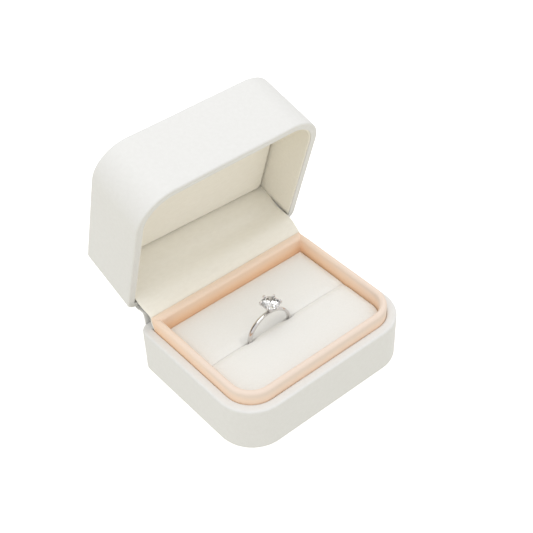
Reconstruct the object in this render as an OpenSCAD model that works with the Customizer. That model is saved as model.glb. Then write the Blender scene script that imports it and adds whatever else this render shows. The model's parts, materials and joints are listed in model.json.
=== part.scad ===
// Ring box: a clam-shell case with rounded front corners, a padded tray with a
// slit that grips one ring, and a lid on a barrel hinge behind the back wall.
// Millimetres. Origin at the centre of the underside, +Z up, front towards -Y.
// The lid is drawn at its open stop, and turns forward about the hinge to close.

/* [Case] */
// Width of the case
case_w = 72; // [66:1:80]
// Depth of the case, front to back
case_d = 55.8; // [50:0.2:62]
// Height of the base up to its rim
base_h = 17.2; // [16.8:0.2:19]
// Height of the lid, rim to top
lid_h = 25; // [24:0.5:30]
// Radius of the two front upright corners
front_r = 13; // [10:0.5:15]
// Radius of the two back upright corners
back_r = 4; // [3.8:0.2:5]

/* [Walls] */
// Full thickness of a base wall, covering included
base_wall = 3.4; // [3.2:0.1:3.8]
// Full thickness of a lid wall, lining included
lid_wall = 3.1; // [3:0.1:3.3]
// Thickness of the leatherette covering
wrap_t = 0.6; // [0.5:0.05:0.7]
// Thickness of the floor of the base and of the roof of the lid, without covering
plate_t = 2.2; // [2:0.1:2.5]

/* [Tray] */
// How far the collar stands above the rim of the base
collar_rise = 4.6; // [4:0.1:5.2]
// Thickness of the collar at the front and sides
collar_t = 2.3; // [2.2:0.1:2.8]
// Thickness of the velvet on the collar
velvet_t = 0.7; // [0.6:0.05:0.75]
// Thickness of the velvet on the two pads
cover_t = 0.5; // [0.4:0.05:0.7]
// How far the pads lie below the rim of the base
pad_drop = 0.2; // [0:0.1:0.6]
// Width of the slit between the pads where the ring holds it open
slit_w = 2; // [1.9:0.1:2.4]
// Place of the slit, front to back
slit_y = -1.15; // [-3:0.05:3]

/* [Lid lining] */
// Depth of the lid from its rim to the face of the padded ceiling
lid_depth = 14.3; // [13.5:0.1:15]
// Thickness of the suede lining
lining_t = 0.6; // [0.5:0.05:0.6]

/* [Hinge] */
// Distance of the hinge axis behind the back face
hinge_back = 4.5; // [4.3:0.1:4.8]
// Distance of the hinge axis below the rim of the base
hinge_drop = 0.7; // [0.65:0.01:0.75]
// Angle between the closed lid and the open stop
open_angle = 73.6; // [70:0.1:75]
// Gap between the two rims when the lid is closed
closed_gap = 0.8; // [0.8:0.05:1]
// Width of the hinge
hinge_w = 44; // [38:1:44]
// Number of knuckles, shared by the two leaves
knuckles = 5; // [3:2:7]

/* [Ring] */
// Inner radius of the ring
ring_r = 8.1; // [7.8:0.1:8.3]
// Thickness of the band
band_t = 1.2; // [1:0.05:1.3]
// Width of the band
band_w = 1.6; // [1.4:0.05:1.6]
// Diameter of the stone
stone_d = 6.2; // [5.6:0.1:6.4]
// Lean of the ring towards the right
ring_lean = 4; // [0:1:6]

/* [Hidden] */

$fn = 64;
cut = 0.5;                              // how far a cutting solid runs past a face
sharp_r = 0.5;                          // radius of a nearly square upright corner
board_r = 1;                            // back corners of the boards and the ceiling's foam
half_w = case_w / 2;
half_d = case_d / 2;
base_core_in = base_wall - wrap_t;      // inset of the base core's inner face
turn_h = 4;                             // height of the covering turned into the base
bottom_turn = 6;                        // width of the covering turned under the base
floor_z = wrap_t + plate_t;

collar_top = base_h + collar_rise;
collar_in = base_wall + collar_t;       // inset of the collar's inner face
collar_back_out = half_d - 4.7;         // y of the outer face of the collar's back bar
collar_back_in = collar_back_out - 2.1; // y of the inner face of the collar's back bar
collar_step = 1;                        // height lost at each edge of the collar's rounded top
step_in = 0.5;                          // how far that step sets the top in
board_top = floor_z + 3.9;
velvet_bottom = board_top + 0.3;
pad_top = base_h - pad_drop;
pad_gap = 0.15;                         // clearance between a pad and the collar

lid_core_in = lid_wall - lining_t;      // inset of the lid core's inner face
lid_roof_z = lid_h - wrap_t - plate_t;
lining_edge = 0.3;                      // how far the lining stops short of the rim
lining_back = half_d - lid_wall - 0.3;  // y where the wall lining ends, just short of the back wall
lid_pad_in = lid_wall + 0.5;            // inset of the padded ceiling
lid_pad_back = half_d - 5.2;            // y of the padded ceiling's back edge
lid_pad_r = 1.5;                        // its two back corners
lid_board_t = 1.2;

hinge_y = half_d + hinge_back;
hinge_z = base_h - hinge_drop;
leaf_t = 0.3;
knuckle_r = 1.6;
pin_r = 0.75;
run_clear = 0.03;                       // radial running clearance on the pin
knuckle_gap = 0.2;                      // side clearance between knuckles
pitch = hinge_w / knuckles;
plate_end = hinge_y - knuckle_r - 0.3;  // where a leaf stops short of the other leaf's knuckles
base_tongue = hinge_y - 1;
lid_tongue = hinge_y - 0.4;
leaf_bottom = base_h - 7.7;
leaf_lid_h = 8;
rivet_x = [-16, 0, 16];
rivet_r = 0.6;
rivet_head_r = 1.1;
rivet_head_t = 0.4;
rivet_end = half_d - 0.9;               // y where a rivet ends inside the wall
pin_head_over = 0.3;                    // how far the pin's heads stand past its radius
pin_head_t = 0.4;
rivet_base_z = base_h - 2.6;
rivet_lid_z = 4.5;
base_leaf_y = half_d - base_wall;       // y of the base leaf's face against the wall
lid_leaf_y = half_d - lid_core_in;      // y of the lid leaf's face against the wall

strip_half = 34;
strip_t = 0.45;
strip_off = 0.35;                       // distance of the strip's middle from the back faces
slot_margin = 0.3;                      // clearance round a leaf where it passes through the strip
slot_depth = 3;
slot_half = hinge_w / 2 + slot_margin;
flap_half = 32.5;
flap_t = 0.5;

ring_x = -3.9;
ring_z = board_top + 0.1 + ring_r + band_t;    // 0.1 above the board
head_z = ring_r + band_t + 0.15;        // culet above the ring's centre
pavilion_h = 0.43 * stone_d;
crown_h = 0.15 * stone_d;
girdle_h = 0.03 * stone_d;
table_r = 0.28 * stone_d;
prongs = 6;
prong_r = 0.36;
prong_top = pavilion_h + girdle_h + 0.35;
prong_foot = 0.7;                       // radius of the circle of prong feet
post_r = 1.25;
post_h = 0.6;
head_sink = 0.1;                        // how far the post and prongs are let into the band
prong_over = 0.1;                       // how far a prong's axis passes outside the girdle

// A point of the closed lid's frame (y, and z above the lid's rim), where it lies when open
function opened(y, z) = let (dy = y - hinge_y, dz = base_h + closed_gap + z - hinge_z)
    [
        hinge_y + dy * cos(open_angle) + dz * sin(open_angle),
        hinge_z - dy * sin(open_angle) + dz * cos(open_angle)
    ];
// The unit vector square to the path at point i, on its left
function normal_at(path, i) = let (
        a = path[max(i - 1, 0)],
        b = path[min(i + 1, len(path) - 1)],
        d = (b - a) / norm(b - a)
    )
    [-d[1], d[0]];
// A strip of thickness t along a path of (y, z) points
function ribbon(path, t) = concat(
    [for (i = [0 : len(path) - 1]) path[i] + normal_at(path, i) * t / 2],
    [for (i = [len(path) - 1 : -1 : 0]) path[i] - normal_at(path, i) * t / 2]
);

// The suede flap, from behind the collar to the slot beside the padded ceiling
flap_path = [
    [collar_back_out + 0.3, velvet_bottom + 1.5], [collar_back_out + 0.3, base_h + 0.4],
    [half_d - 3.6, base_h + 1.8], [half_d - 1.5, base_h + 3.9], [half_d + 2.4, base_h + 7.7],
    [half_d + 5.3, base_h + 10.2], [half_d + 8.7, base_h + 11.8],
    opened(lid_pad_back - 0.1, lid_depth - 3.8), opened(lid_pad_back + 0.7, lid_depth - 0.9),
    opened(lid_pad_back + 1, lid_depth + 3.7)
];
// The leatherette strip, from the base's back face over the joint to the lid's back face
strip_path = [
    [half_d + strip_off, base_h - 3.8], [half_d + strip_off, base_h], [half_d + 0.5, base_h + 2.8],
    [half_d + 1.2, base_h + 4.7], [half_d + 3, base_h + 3.6],
    opened(half_d + strip_off, 0.4), opened(half_d + strip_off, 4)
];

// A plan outline with large front corners and small back corners
module outline(x, y_front, y_back, r_front, r_back) {
    translate([-x + r_front, -y_front])
        square([2 * (x - r_front), y_front + y_back]);
    translate([-x, -y_front + r_front])
        square([2 * x, y_front + y_back - r_front - r_back]);
    translate([-x + r_back, -y_front + r_front])
        square([2 * (x - r_back), y_front - r_front + y_back]);
    for (side = [-1, 1]) {
        translate([side * (x - r_front), -y_front + r_front])
            circle(r_front);
        translate([side * (x - r_back), y_back - r_back])
            circle(r_back);
    }
}

// The case's plan, inset evenly, between two heights
module case_block(inset, z0, z1) {
    inner_block(inset, half_d - inset, max(back_r - inset, sharp_r), z0, z1);
}

// The same plan, but with a back edge and back corners of its own
module inner_block(inset, y_back, r_back, z0, z1) {
    translate([0, 0, z0])
        linear_extrude(z1 - z0)
            outline(half_w - inset, half_d - inset, y_back, front_r - inset, r_back);
}

// Moves pieces drawn in the closed lid's frame, rim at z = 0, to the open stop
module lid_open() {
    translate([0, hinge_y, hinge_z])
        rotate([-open_angle, 0, 0])
            translate([0, -hinge_y, base_h + closed_gap - hinge_z])
                children();
}

// A cylinder along X centred on a point
module bar_x(r, length, x, y, z) {
    translate([x - length / 2, y, z])
        rotate([0, 90, 0])
            cylinder(r = r, h = length);
}

// Shanks of one row of rivets
module rivet_shanks(y0, z) {
    for (x = rivet_x)
        translate([x, y0, z])
            rotate([-90, 0, 0])
                cylinder(r = rivet_r, h = rivet_end - y0, $fn = 24);
}

// One row of rivets with flat heads
module rivets(y_head, z) {
    rivet_shanks(y_head, z);
    for (x = rivet_x)
        translate([x, y_head, z])
            rotate([-90, 0, 0])
                cylinder(r = rivet_head_r, h = rivet_head_t, $fn = 24);
}

// A leaf's knuckles: first is 0 for the outer set and 1 for the set between
module leaf_knuckles(first, y, z, bore) {
    for (i = [first : 2 : knuckles - 1])
        difference() {
            bar_x(knuckle_r, pitch - knuckle_gap, (i + 0.5) * pitch - hinge_w / 2, y, z);
            bar_x(bore, pitch + cut, (i + 0.5) * pitch - hinge_w / 2, y, z);
        }
}

// The tongues that join a leaf's plate to its knuckles
module leaf_tongues(first, y_end, z0) {
    for (i = [first : 2 : knuckles - 1])
        translate([i * pitch - hinge_w / 2 + knuckle_gap / 2, plate_end - cut, z0])
            cube([pitch - knuckle_gap, y_end - plate_end + cut, leaf_t]);
}

module base_shell() {
    color("whitesmoke")
        difference() {
            case_block(wrap_t, wrap_t, base_h - wrap_t);
            case_block(base_core_in, floor_z, base_h);
            rivet_shanks(base_leaf_y - leaf_t - rivet_head_t, rivet_base_z);
        }
}

module base_wrap() {
    color("white")
        difference() {
            union() {
                difference() {
                    case_block(0, 0, base_h);
                    case_block(wrap_t, wrap_t, base_h - wrap_t);
                }
                case_block(base_core_in, base_h - turn_h - wrap_t, base_h - wrap_t / 2);
            }
            case_block(base_wall, base_h - turn_h - wrap_t - cut, base_h + cut);
            case_block(bottom_turn, -cut, wrap_t + cut);
            rivet_shanks(base_leaf_y - leaf_t - rivet_head_t, rivet_base_z);
        }
}

module base_bottom_sheet() {
    color("ivory")
        case_block(bottom_turn, 0, wrap_t);
}

module tray_board() {
    color("gainsboro")
        inner_block(collar_in - velvet_t, collar_back_in + velvet_t, board_r, floor_z, board_top);
}

module collar_core() {
    color("linen")
        difference() {
            inner_block(
                base_wall + velvet_t, collar_back_out - velvet_t, sharp_r,
                floor_z, collar_top - velvet_t - collar_step
            );
            inner_block(
                collar_in - velvet_t, collar_back_in + velvet_t, board_r,
                floor_z - cut, collar_top
            );
        }
}

module collar_velvet() {
    color("peachpuff")
        difference() {
            union() {
                inner_block(base_wall, collar_back_out, sharp_r, velvet_bottom, collar_top - collar_step);
                inner_block(
                    base_wall + step_in, collar_back_out - step_in, sharp_r,
                    collar_top - 2 * collar_step, collar_top
                );
            }
            inner_block(collar_in, collar_back_in, sharp_r, velvet_bottom - cut, collar_top);
            inner_block(
                collar_in - step_in, collar_back_in + step_in, sharp_r,
                collar_top - collar_step, collar_top + cut
            );
            collar_core();
        }
}

// One of the two pads: side is -1 for the front pad and 1 for the back pad
module pad_block(side, skin, z1) {
    y_slit = slit_y + side * (slit_w / 2 + skin);
    intersection() {
        inner_block(
            collar_in + pad_gap + skin, collar_back_in - pad_gap - skin, sharp_r,
            board_top, z1
        );
        translate([-half_w, side > 0 ? y_slit : y_slit - case_d, 0])
            cube([case_w, case_d, base_h]);
    }
}

module pad_cover(side) {
    color("oldlace")
        difference() {
            pad_block(side, 0, pad_top);
            translate([0, 0, -cut])
                pad_block(side, cover_t, pad_top - cover_t + cut);
        }
}

module front_pad_foam() {
    color("lightgray")
        pad_block(-1, cover_t, pad_top - cover_t);
}

module back_pad_foam() {
    color("lightgray")
        pad_block(1, cover_t, pad_top - cover_t);
}

module front_pad_cover() {
    pad_cover(-1);
}

module back_pad_cover() {
    pad_cover(1);
}

module hinge_leaf_base() {
    color("silver")
        difference() {
            union() {
                translate([-hinge_w / 2, base_leaf_y - leaf_t, leaf_bottom])
                    cube([hinge_w, leaf_t, base_h + leaf_t - leaf_bottom]);
                translate([-hinge_w / 2, base_leaf_y - leaf_t, base_h])
                    cube([hinge_w, plate_end - base_leaf_y + leaf_t, leaf_t]);
                leaf_tongues(0, base_tongue, base_h);
                leaf_knuckles(0, hinge_y, hinge_z, pin_r);
            }
            rivet_shanks(base_leaf_y - leaf_t - rivet_head_t, rivet_base_z);
        }
}

module hinge_rivets_base() {
    color("darkgray")
        rivets(base_leaf_y - leaf_t - rivet_head_t, rivet_base_z);
}

module hinge_pin() {
    color("gray") {
        bar_x(pin_r, hinge_w + knuckle_gap, 0, hinge_y, hinge_z);
        for (side = [-1, 1])
            bar_x(pin_r + pin_head_over, pin_head_t, side * (hinge_w + pin_head_t) / 2, hinge_y, hinge_z);
    }
}

module hinge_flap() {
    color("antiquewhite")
        rotate([90, 0, 90])
            translate([0, 0, -flap_half])
                linear_extrude(2 * flap_half)
                    polygon(ribbon(flap_path, flap_t));
}

module hinge_strip() {
    color("white")
        difference() {
            rotate([90, 0, 90])
                translate([0, 0, -strip_half])
                    linear_extrude(2 * strip_half)
                        polygon(ribbon(strip_path, strip_t));
            translate([-slot_half, half_d - cut, base_h - slot_margin])
                cube([2 * slot_half, slot_depth, leaf_t + 2 * slot_margin]);
            lid_open()
                translate([-slot_half, half_d - cut, -leaf_t - slot_margin])
                    cube([2 * slot_half, slot_depth, leaf_t + 2 * slot_margin]);
        }
}

module lid_shell() {
    color("whitesmoke")
        lid_open()
            difference() {
                case_block(wrap_t, wrap_t, lid_h - wrap_t);
                case_block(lid_core_in, -cut, lid_roof_z);
                rivet_shanks(lid_leaf_y - leaf_t - rivet_head_t, rivet_lid_z);
            }
}

module lid_wrap() {
    color("white")
        lid_open()
            difference() {
                case_block(0, 0, lid_h);
                case_block(wrap_t, wrap_t, lid_h - wrap_t);
                case_block(lid_core_in, -cut, wrap_t + cut);
            }
}

module lid_wall_lining() {
    color("antiquewhite")
        lid_open()
            difference() {
                case_block(lid_core_in, lining_edge, lid_roof_z);
                case_block(lid_wall, -cut, lid_roof_z + cut);
                translate([-half_w, lining_back, -cut])
                    cube([case_w, half_d, lid_h + 2 * cut]);
            }
}

module lid_pad_board() {
    color("gainsboro")
        lid_open()
            inner_block(lid_pad_in, lid_pad_back, lid_pad_r, lid_roof_z - lid_board_t, lid_roof_z);
}

module lid_pad_foam() {
    color("lightgray")
        lid_open()
            inner_block(
                lid_pad_in + lining_t, lid_pad_back - lining_t, board_r,
                lid_depth + lining_t, lid_roof_z - lid_board_t
            );
}

module lid_pad_cover() {
    color("antiquewhite")
        lid_open()
            difference() {
                inner_block(lid_pad_in, lid_pad_back, lid_pad_r, lid_depth, lid_roof_z - lid_board_t);
                inner_block(
                    lid_pad_in + lining_t, lid_pad_back - lining_t, board_r,
                    lid_depth + lining_t, lid_h
                );
            }
}

module hinge_leaf_lid() {
    color("silver")
        lid_open()
            difference() {
                union() {
                    translate([-hinge_w / 2, lid_leaf_y - leaf_t, -leaf_t])
                        cube([hinge_w, leaf_t, leaf_lid_h + leaf_t]);
                    translate([-hinge_w / 2, lid_leaf_y - leaf_t, -leaf_t])
                        cube([hinge_w, plate_end - lid_leaf_y + leaf_t, leaf_t]);
                    leaf_tongues(1, lid_tongue, -leaf_t);
                    leaf_knuckles(1, hinge_y, hinge_z - base_h - closed_gap, pin_r + run_clear);
                }
                rivet_shanks(lid_leaf_y - leaf_t - rivet_head_t, rivet_lid_z);
            }
}

module hinge_rivets_lid() {
    color("darkgray")
        lid_open()
            rivets(lid_leaf_y - leaf_t - rivet_head_t, rivet_lid_z);
}

// Places pieces drawn about the ring's centre, its finger hole along Y
module in_ring() {
    translate([ring_x, slit_y, ring_z])
        rotate([0, ring_lean, 0])
            children();
}

// The stone turned about Z with its culet at the origin
module stone_shape() {
    rotate_extrude()
        polygon([
            [0, 0],
            [stone_d / 2, pavilion_h],
            [stone_d / 2, pavilion_h + girdle_h],
            [table_r, pavilion_h + girdle_h + crown_h],
            [0, pavilion_h + girdle_h + crown_h]
        ]);
}

module ring_shank() {
    color("gainsboro")
        in_ring()
            rotate([90, 0, 0])
                rotate_extrude($fn = 96)
                    translate([ring_r, -band_w / 2])
                        square([band_t, band_w]);
}

module ring_head() {
    lean = atan((stone_d / 2 + prong_over - prong_foot) / prong_top);
    color("silver")
        in_ring() {
            translate([0, 0, ring_r + band_t - head_sink])
                cylinder(r = post_r, h = post_h, $fn = 24);
            for (i = [0 : prongs - 1])
                rotate([0, 0, 90 + i * 360 / prongs])
                    translate([prong_foot, 0, head_z - head_sink])
                        rotate([0, lean, 0])
                            cylinder(r = prong_r, h = (prong_top + head_sink) / cos(lean), $fn = 24);
        }
}

module ring_stone() {
    color("aliceblue")
        in_ring()
            translate([0, 0, head_z])
                stone_shape();
}

base_shell();
base_wrap();
base_bottom_sheet();
tray_board();
collar_core();
collar_velvet();
front_pad_foam();
front_pad_cover();
back_pad_foam();
back_pad_cover();
hinge_leaf_base();
hinge_rivets_base();
hinge_pin();
hinge_strip();
hinge_flap();
lid_shell();
lid_wrap();
lid_wall_lining();
lid_pad_board();
lid_pad_foam();
lid_pad_cover();
hinge_leaf_lid();
hinge_rivets_lid();
ring_shank();
ring_head();
ring_stone();
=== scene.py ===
# A clam-shell ring box standing open with a solitaire ring in its slit.
# Sizes are in millimetres until make() turns them into metres.
import json
import math

import bmesh
import bpy
import numpy as np
from mathutils import Matrix, Vector, noise


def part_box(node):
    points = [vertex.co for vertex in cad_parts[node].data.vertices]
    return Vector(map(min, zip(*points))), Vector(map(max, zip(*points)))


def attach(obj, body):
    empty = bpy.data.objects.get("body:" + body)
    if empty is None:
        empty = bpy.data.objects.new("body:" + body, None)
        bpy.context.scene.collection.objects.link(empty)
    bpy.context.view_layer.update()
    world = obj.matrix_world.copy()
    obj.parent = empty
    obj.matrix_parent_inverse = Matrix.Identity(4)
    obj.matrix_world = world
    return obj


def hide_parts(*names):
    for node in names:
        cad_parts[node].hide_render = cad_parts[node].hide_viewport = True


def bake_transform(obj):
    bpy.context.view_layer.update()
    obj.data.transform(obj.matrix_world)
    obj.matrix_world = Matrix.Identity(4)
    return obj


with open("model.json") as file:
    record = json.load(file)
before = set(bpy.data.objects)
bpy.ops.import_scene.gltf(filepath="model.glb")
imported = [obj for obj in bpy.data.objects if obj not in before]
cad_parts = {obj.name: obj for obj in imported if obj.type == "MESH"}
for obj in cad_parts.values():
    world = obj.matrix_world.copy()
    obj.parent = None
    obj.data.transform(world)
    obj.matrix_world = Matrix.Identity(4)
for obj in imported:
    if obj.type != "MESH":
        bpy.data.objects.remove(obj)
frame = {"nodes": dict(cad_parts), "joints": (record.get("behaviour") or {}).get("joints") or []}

noise.seed_set(1)            # Blender seeds its noise from the clock, and each run would differ

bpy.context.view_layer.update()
MM = 0.001                   # metres


def box_mm(node):
    """Lowest and highest corner of a CAD node, in millimetres."""
    low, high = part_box(node)
    return np.array(low) / MM, np.array(high) / MM


# ---------------------------------------------------------------- sizes
CASE_HIGH = box_mm("base_wrap")[1]
HALF_W, HALF_D, BASE_H = CASE_HIGH
FRONT_R = 13.0               # front upright corners of the case
BACK_R = 4.0                 # back upright corners of the case
SKIN = 0.6                   # leatherette, and the lining of the lid
BASE_WALL = 3.4              # covering included
LID_WALL = 3.1               # covering and lining included
LID_H = 25.0                 # rim to top
LID_GAP = 0.8                # between the rims when the lid is closed
LID_DRAFT = 0.5              # how far the lid's top is set in
LID_FLARE = 0.35             # how much wider than the case the covered lid is at its rim, each side
LID_ROOF = 22.2              # rim to the underside of the lid's roof
CEILING = 14.3               # rim to the face of the padded ceiling
COLLAR_HIGH = box_mm("collar_velvet")[1]
COLLAR_TOP = COLLAR_HIGH[2]
COLLAR_BACK = COLLAR_HIGH[1]
COLLAR_T = 2.3               # collar, front and sides
COLLAR_BACK_T = 2.1          # collar, back bar
BACK_LEAN = 0.8              # how far the back bar's top leans back over the hinge
LEAN_Y = (16, 20.5)          # between these places, front to back, the lean grows from none to full
BOARD_TOP = box_mm("tray_board")[1][2]
PAD_TOP = box_mm("front_pad_cover")[1][2]
LEAN_Z = (PAD_TOP - 3.5, PAD_TOP)   # and between these heights
SLIT_Y = (box_mm("front_pad_cover")[1][1] + box_mm("back_pad_cover")[0][1]) / 2
LID_BACK_IN = HALF_D - LID_WALL - 0.1   # just inside the lid's back wall
LID_PAD_BACK = HALF_D - 5.2  # back edge of the padded ceiling in CAD
LID_PAD_EASE = 0.43          # how far in front of that the cover's edge lies, at the middle
LID_PAD_SKEW = 0.0556        # how much further back that edge lies for each millimetre to the right
FLAP_HALF = box_mm("hinge_flap")[1][0]
FLAP_SPREAD = 0.95           # how much wider the flap is in the lid, each side
STRIP_HALF = box_mm("hinge_strip")[1][0] - 1.2   # it ends before the round back corners do

lid_joint = next(j for j in frame["joints"] if j["name"] == "lid_hinge")
HINGE = np.array(lid_joint["pos_m"]) / MM
OPEN = math.radians(lid_joint["range_deg"][1])

SHANK_LOW, SHANK_HIGH = box_mm("ring_shank")
RING_CENTRE = (SHANK_LOW + SHANK_HIGH) / 2
RING_OUT = (SHANK_HIGH[2] - SHANK_LOW[2]) / 2
RING_IN = 8.1
RING_LEAN = math.radians(4)
BAND_W = SHANK_HIGH[1] - SHANK_LOW[1]
STONE_D = 6.2
STONE_FOOT = 9.45            # culet above the ring's centre


# ---------------------------------------------------------------- outlines and meshes
def fillet(points, radii, arc=8):
    """A closed outline through the points, its corners rounded by arcs."""
    points = [np.array(p, float) for p in points]
    out = []
    for i, (p, r) in enumerate(zip(points, radii)):
        if r <= 0:
            out.append(p)
            continue
        to_last = points[i - 1] - p
        to_next = points[(i + 1) % len(points)] - p
        u = to_last / np.linalg.norm(to_last)
        v = to_next / np.linalg.norm(to_next)
        half = math.acos(np.clip(u @ v, -1, 1)) / 2
        centre = p + (u + v) / np.linalg.norm(u + v) * r / math.sin(half)
        start = p + u * r / math.tan(half) - centre
        end = p + v * r / math.tan(half) - centre
        a0 = math.atan2(start[1], start[0])
        turn = (math.atan2(end[1], end[0]) - a0 + math.pi) % (2 * math.pi) - math.pi
        for k in range(arc + 1):
            a = a0 + turn * k / arc
            out.append(centre + r * np.array([math.cos(a), math.sin(a)]))
    return np.array(out)


def supported(points, margin=0.25, step=3.0, closed=True):
    """The same outline with extra points on its long straights, so that flat faces shade flat."""
    out = []
    n = len(points)
    for i in range(n if closed else n - 1):
        a, b = points[i], points[(i + 1) % n]
        out.append(a)
        long = np.linalg.norm(b - a)
        if long > 3 * margin:
            count = max(1, int(round((long - 2 * margin) / step)))
            for k in range(count + 1):
                out.append(a + (b - a) * (margin + (long - 2 * margin) * k / count) / long)
    if not closed:
        out.append(points[-1])
    return np.array(out)


def plan(x, y0, y1, r_front, r_back, sides=(24, 18, 24, 18), arc=14):
    """A ring of plan points: half width x, from y0 to y1. It starts at the front left corner."""
    corners = [((-x, y0), r_front), ((x, y0), r_front), ((x, y1), r_back), ((-x, y1), r_back)]
    arcs = fillet([c for c, _ in corners], [max(r, 0.05) for _, r in corners], arc)
    arcs = arcs.reshape(4, arc + 1, 2)
    out = []
    for k in range(4):
        out.extend(arcs[k])
        a, b = arcs[k][-1], arcs[(k + 1) % 4][0]
        out.extend(a + (b - a) * i / sides[k] for i in range(1, sides[k]))
    return np.array(out)


def at_height(ring, z):
    return np.column_stack([ring, np.full(len(ring), z)])


def case_ring(inset, z):
    """The case's outline moved inwards, at a height."""
    return at_height(
        plan(HALF_W - inset, inset - HALF_D, HALF_D - inset, FRONT_R - inset, max(BACK_R - inset, 0.5)),
        z,
    )


def shrunk(ring, steps, crown=0.0):
    """Rings that close a cap over the given ring, risen by crown at its middle."""
    centre = (ring.min(0) + ring.max(0)) / 2
    out = []
    for k in range(1, steps + 1):
        share = k / (steps + 0.5)
        inner = centre + (ring - centre) * (1 - share)
        inner[:, 2] = ring[:, 2] + crown * (1 - (1 - share) ** 2)
        out.append(inner)
    return out


def loft(rings, closed=False, cap_first=False, cap_last=False, open_rings=False):
    """Vertices and faces of a skin through rings of equal length."""
    n, rows = len(rings[0]), len(rings)
    faces = []
    for i in range(rows if closed else rows - 1):
        a, b = i * n, (i + 1) % rows * n
        for j in range(n - 1 if open_rings else n):
            k = (j + 1) % n
            faces.append((a + j, a + k, b + k, b + j))
    if cap_first:
        faces.append(tuple(range(n)))
    if cap_last:
        faces.append(tuple(range((rows - 1) * n, rows * n)))
    return np.concatenate(rings), faces


def make(name, verts, faces, material, smooth=True):
    """A mesh object in metres, its normals outwards."""
    mesh = bpy.data.meshes.new(name)
    mesh.from_pydata([tuple(v) for v in np.asarray(verts) * MM], [], faces)
    work = bmesh.new()
    work.from_mesh(mesh)
    bmesh.ops.recalc_face_normals(work, faces=work.faces)
    work.to_mesh(mesh)
    work.free()
    mesh.polygons.foreach_set("use_smooth", [smooth] * len(mesh.polygons))
    mesh.materials.append(material)
    piece = bpy.data.objects.new(name, mesh)
    bpy.context.scene.collection.objects.link(piece)
    return piece


def coords(piece):
    co = np.zeros(len(piece.data.vertices) * 3)
    piece.data.vertices.foreach_get("co", co)
    return co.reshape(-1, 3)


def set_coords(piece, co):
    piece.data.vertices.foreach_set("co", co.ravel())
    piece.data.update()


def waver(verts, amount, size, seed=0.0):
    """Soft unevenness: every point moves by up to about amount, in waves of about size. seed picks them."""
    out = np.array(verts, float)
    for i, p in enumerate(out):
        q = Vector(p) / size + Vector((seed, 1.7 * seed, 2.3 * seed))
        out[i] = p + amount * np.array(noise.noise_vector(q))
    return out


def apply_modifiers(piece):
    """Puts what the modifiers make into the mesh itself."""
    graph = bpy.context.evaluated_depsgraph_get()
    mesh = bpy.data.meshes.new_from_object(piece.evaluated_get(graph))
    piece.modifiers.clear()
    piece.data = mesh
    return piece


def swung(verts):
    """Points of the closed lid, rim at z = 0, turned to the open stop."""
    p = np.array(verts, float) + [0, 0, BASE_H + LID_GAP] - HINGE
    c, s = math.cos(OPEN), math.sin(OPEN)
    y, z = p[:, 1].copy(), p[:, 2].copy()
    p[:, 1] = y * c + z * s
    p[:, 2] = -y * s + z * c
    return p + HINGE


def opened(y, z):
    """(y, z) in the closed lid's frame, y from the case's middle and z from the lid's rim, when open."""
    return swung([[0.0, y, z]])[0][1:]


def flared(verts):
    """Points of the closed lid, rim at z = 0, widened as the covering and lining swell towards the rim."""
    out = np.array(verts, float)
    out[:, 0] *= 1 + LID_FLARE / HALF_W * (1 - 0.5 * out[:, 2] / LID_H)
    return out


def step_up(x, low, high):
    """Rises smoothly from 0 at low to 1 at high."""
    t = np.clip((x - low) / (high - low), 0, 1)
    return t * t * (3 - 2 * t)


SIM_SCALE = 25.0             # the simulation runs on a model this much larger
SIM_FRAMES = 20


def puff(piece, held, pressure, cap):
    """Blows a cover up as foam does, by a cloth simulation. held marks the points that stay.

    cap is the furthest that any other point moves, in mm.
    """
    scene = bpy.context.scene
    rest = coords(piece)
    set_coords(piece, rest * SIM_SCALE)
    group = piece.vertex_groups.new(name="held")
    group.add([int(i) for i in np.flatnonzero(held)], 1.0, "REPLACE")
    cloth = piece.modifiers.new("Cloth", "CLOTH")
    settings = cloth.settings
    settings.quality = 6
    settings.mass = 0.4
    settings.tension_stiffness = 12
    settings.compression_stiffness = 12
    settings.shear_stiffness = 6
    settings.bending_stiffness = 1.5
    settings.use_pressure = True
    settings.uniform_pressure_force = pressure
    settings.vertex_group_mass = "held"
    settings.effector_weights.gravity = 0
    cloth.point_cache.frame_start = 1
    cloth.point_cache.frame_end = SIM_FRAMES
    for f in range(1, SIM_FRAMES + 1):
        scene.frame_set(f)
    graph = bpy.context.evaluated_depsgraph_get()
    puffed = coords(piece.evaluated_get(graph)) / SIM_SCALE
    piece.modifiers.remove(cloth)
    piece.vertex_groups.remove(group)
    move = puffed - rest
    length = np.linalg.norm(move, axis=1, keepdims=True)
    limit = cap * MM
    move *= limit * np.tanh(length / limit) / np.maximum(length, 1e-12)
    set_coords(piece, rest + move)
    scene.frame_set(1)


# ---------------------------------------------------------------- materials
def shader(name, roughness, sockets=()):
    """A Principled material. sockets are (name, value) pairs set on the shader itself."""
    made = bpy.data.materials.new(name)
    made.use_nodes = True
    bsdf = made.node_tree.nodes["Principled BSDF"]
    bsdf.inputs["Roughness"].default_value = roughness
    for socket, value in sockets:
        bsdf.inputs[socket].default_value = value
    return made, made.node_tree, bsdf


def add_noise(tree, per_mm, detail=3.0, stretch=(1, 1, 1)):
    """A noise texture on the object's own coordinates, with per_mm cells to a millimetre."""
    where = tree.nodes.new("ShaderNodeTexCoord")
    scaled = tree.nodes.new("ShaderNodeMapping")
    scaled.inputs["Scale"].default_value = [per_mm / MM * s for s in stretch]
    texture = tree.nodes.new("ShaderNodeTexNoise")
    texture.inputs["Scale"].default_value = 1.0
    texture.inputs["Detail"].default_value = detail
    tree.links.new(where.outputs["Object"], scaled.inputs["Vector"])
    tree.links.new(scaled.outputs["Vector"], texture.inputs["Vector"])
    return texture.outputs["Fac"]


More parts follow.
